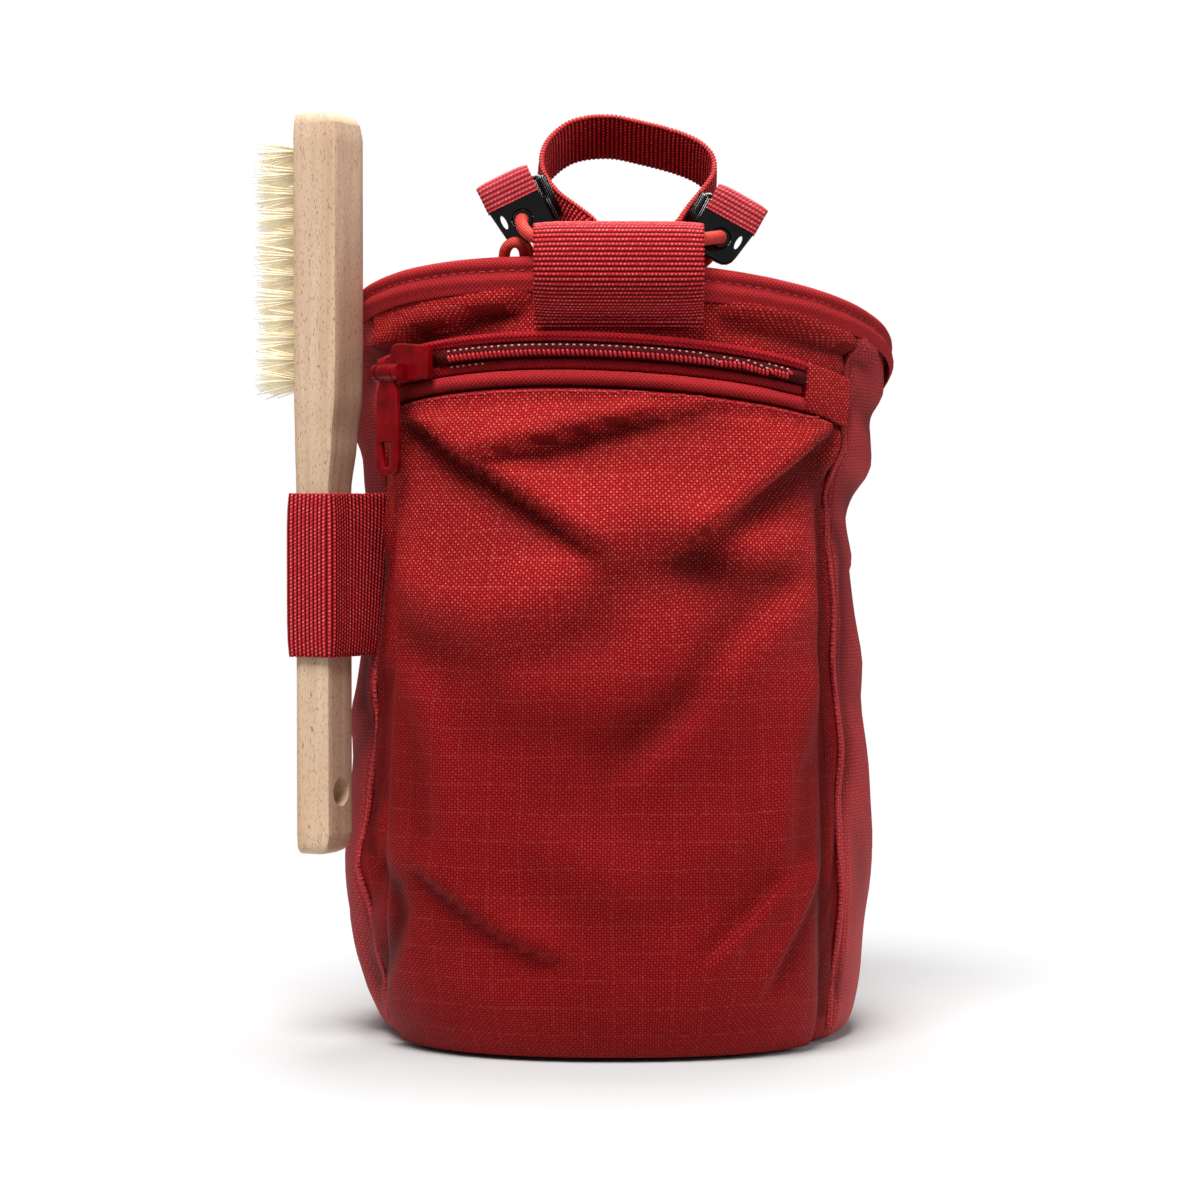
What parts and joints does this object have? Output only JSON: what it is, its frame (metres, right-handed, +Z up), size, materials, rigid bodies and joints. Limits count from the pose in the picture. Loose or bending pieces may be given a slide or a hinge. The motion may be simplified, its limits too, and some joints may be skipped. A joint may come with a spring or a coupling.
{
  "type": "climbing chalk bag",
  "caption": "Soft round climbing chalk bag with a zipped front pocket, webbing belt loop, carrying strap with cord plates, and a wooden brush held in a side sleeve.",
  "frame": {"origin": "centre of the flat base, on the surface the bag stands on", "axes": "+Z up, front with the pocket towards -Y, +X to the viewer's right"},
  "size_m": [0.1571, 0.1277, 0.2238],
  "materials": {
    "ripstop_red": "ripstop nylon weave",
    "side_cloth_red": "plain weave",
    "webbing_red": "ribbed webbing",
    "zip_tape_red": "woven zip tape",
    "zip_coil_red": "moulded coil",
    "slider_red": "lacquered metal",
    "cord_red": "smooth elastic cord",
    "plastic_black": "moulded",
    "beech": "bare sanded beech",
    "bristle": "natural bristle"
  },
  "bodies": {
    "bag": {"bag_shell": "ripstop_red", "base_panel": "side_cloth_red", "rim_binding": "side_cloth_red", "front_pocket": "ripstop_red", "pocket_welt": "ripstop_red", "zip_tape_lower": "zip_tape_red", "zip_tape_upper": "zip_tape_red", "zip_coil": "zip_coil_red", "zip_end_tab": "ripstop_red", "zip_slider": "slider_red", "belt_loop": "webbing_red", "handle_strap": "webbing_red", "buckle_left": "plastic_black", "buckle_right": "plastic_black", "strap_tab_left": "webbing_red", "strap_tab_right": "webbing_red", "tie_cord": "cord_red", "rim_cord": "cord_red", "brush_sleeve": "webbing_red"},
    "brush": {"brush_handle": "beech", "brush_bristles": "bristle"},
    "zip_pull": {"zip_pull": "slider_red"}
  },
  "joints": [
    {"name": "brush_slide", "type": "slide", "parent": "bag", "child": "brush", "axis": [0, 0, 1], "range_m": [0, 0.08]},
    {"name": "zip_pull_hinge", "type": "hinge", "parent": "bag", "child": "zip_pull", "pos_m": [-0.05281, -0.04788, 0.1607], "axis": [-0.7684, 0.6399, 0], "range_deg": [0, 120]}
  ]
}
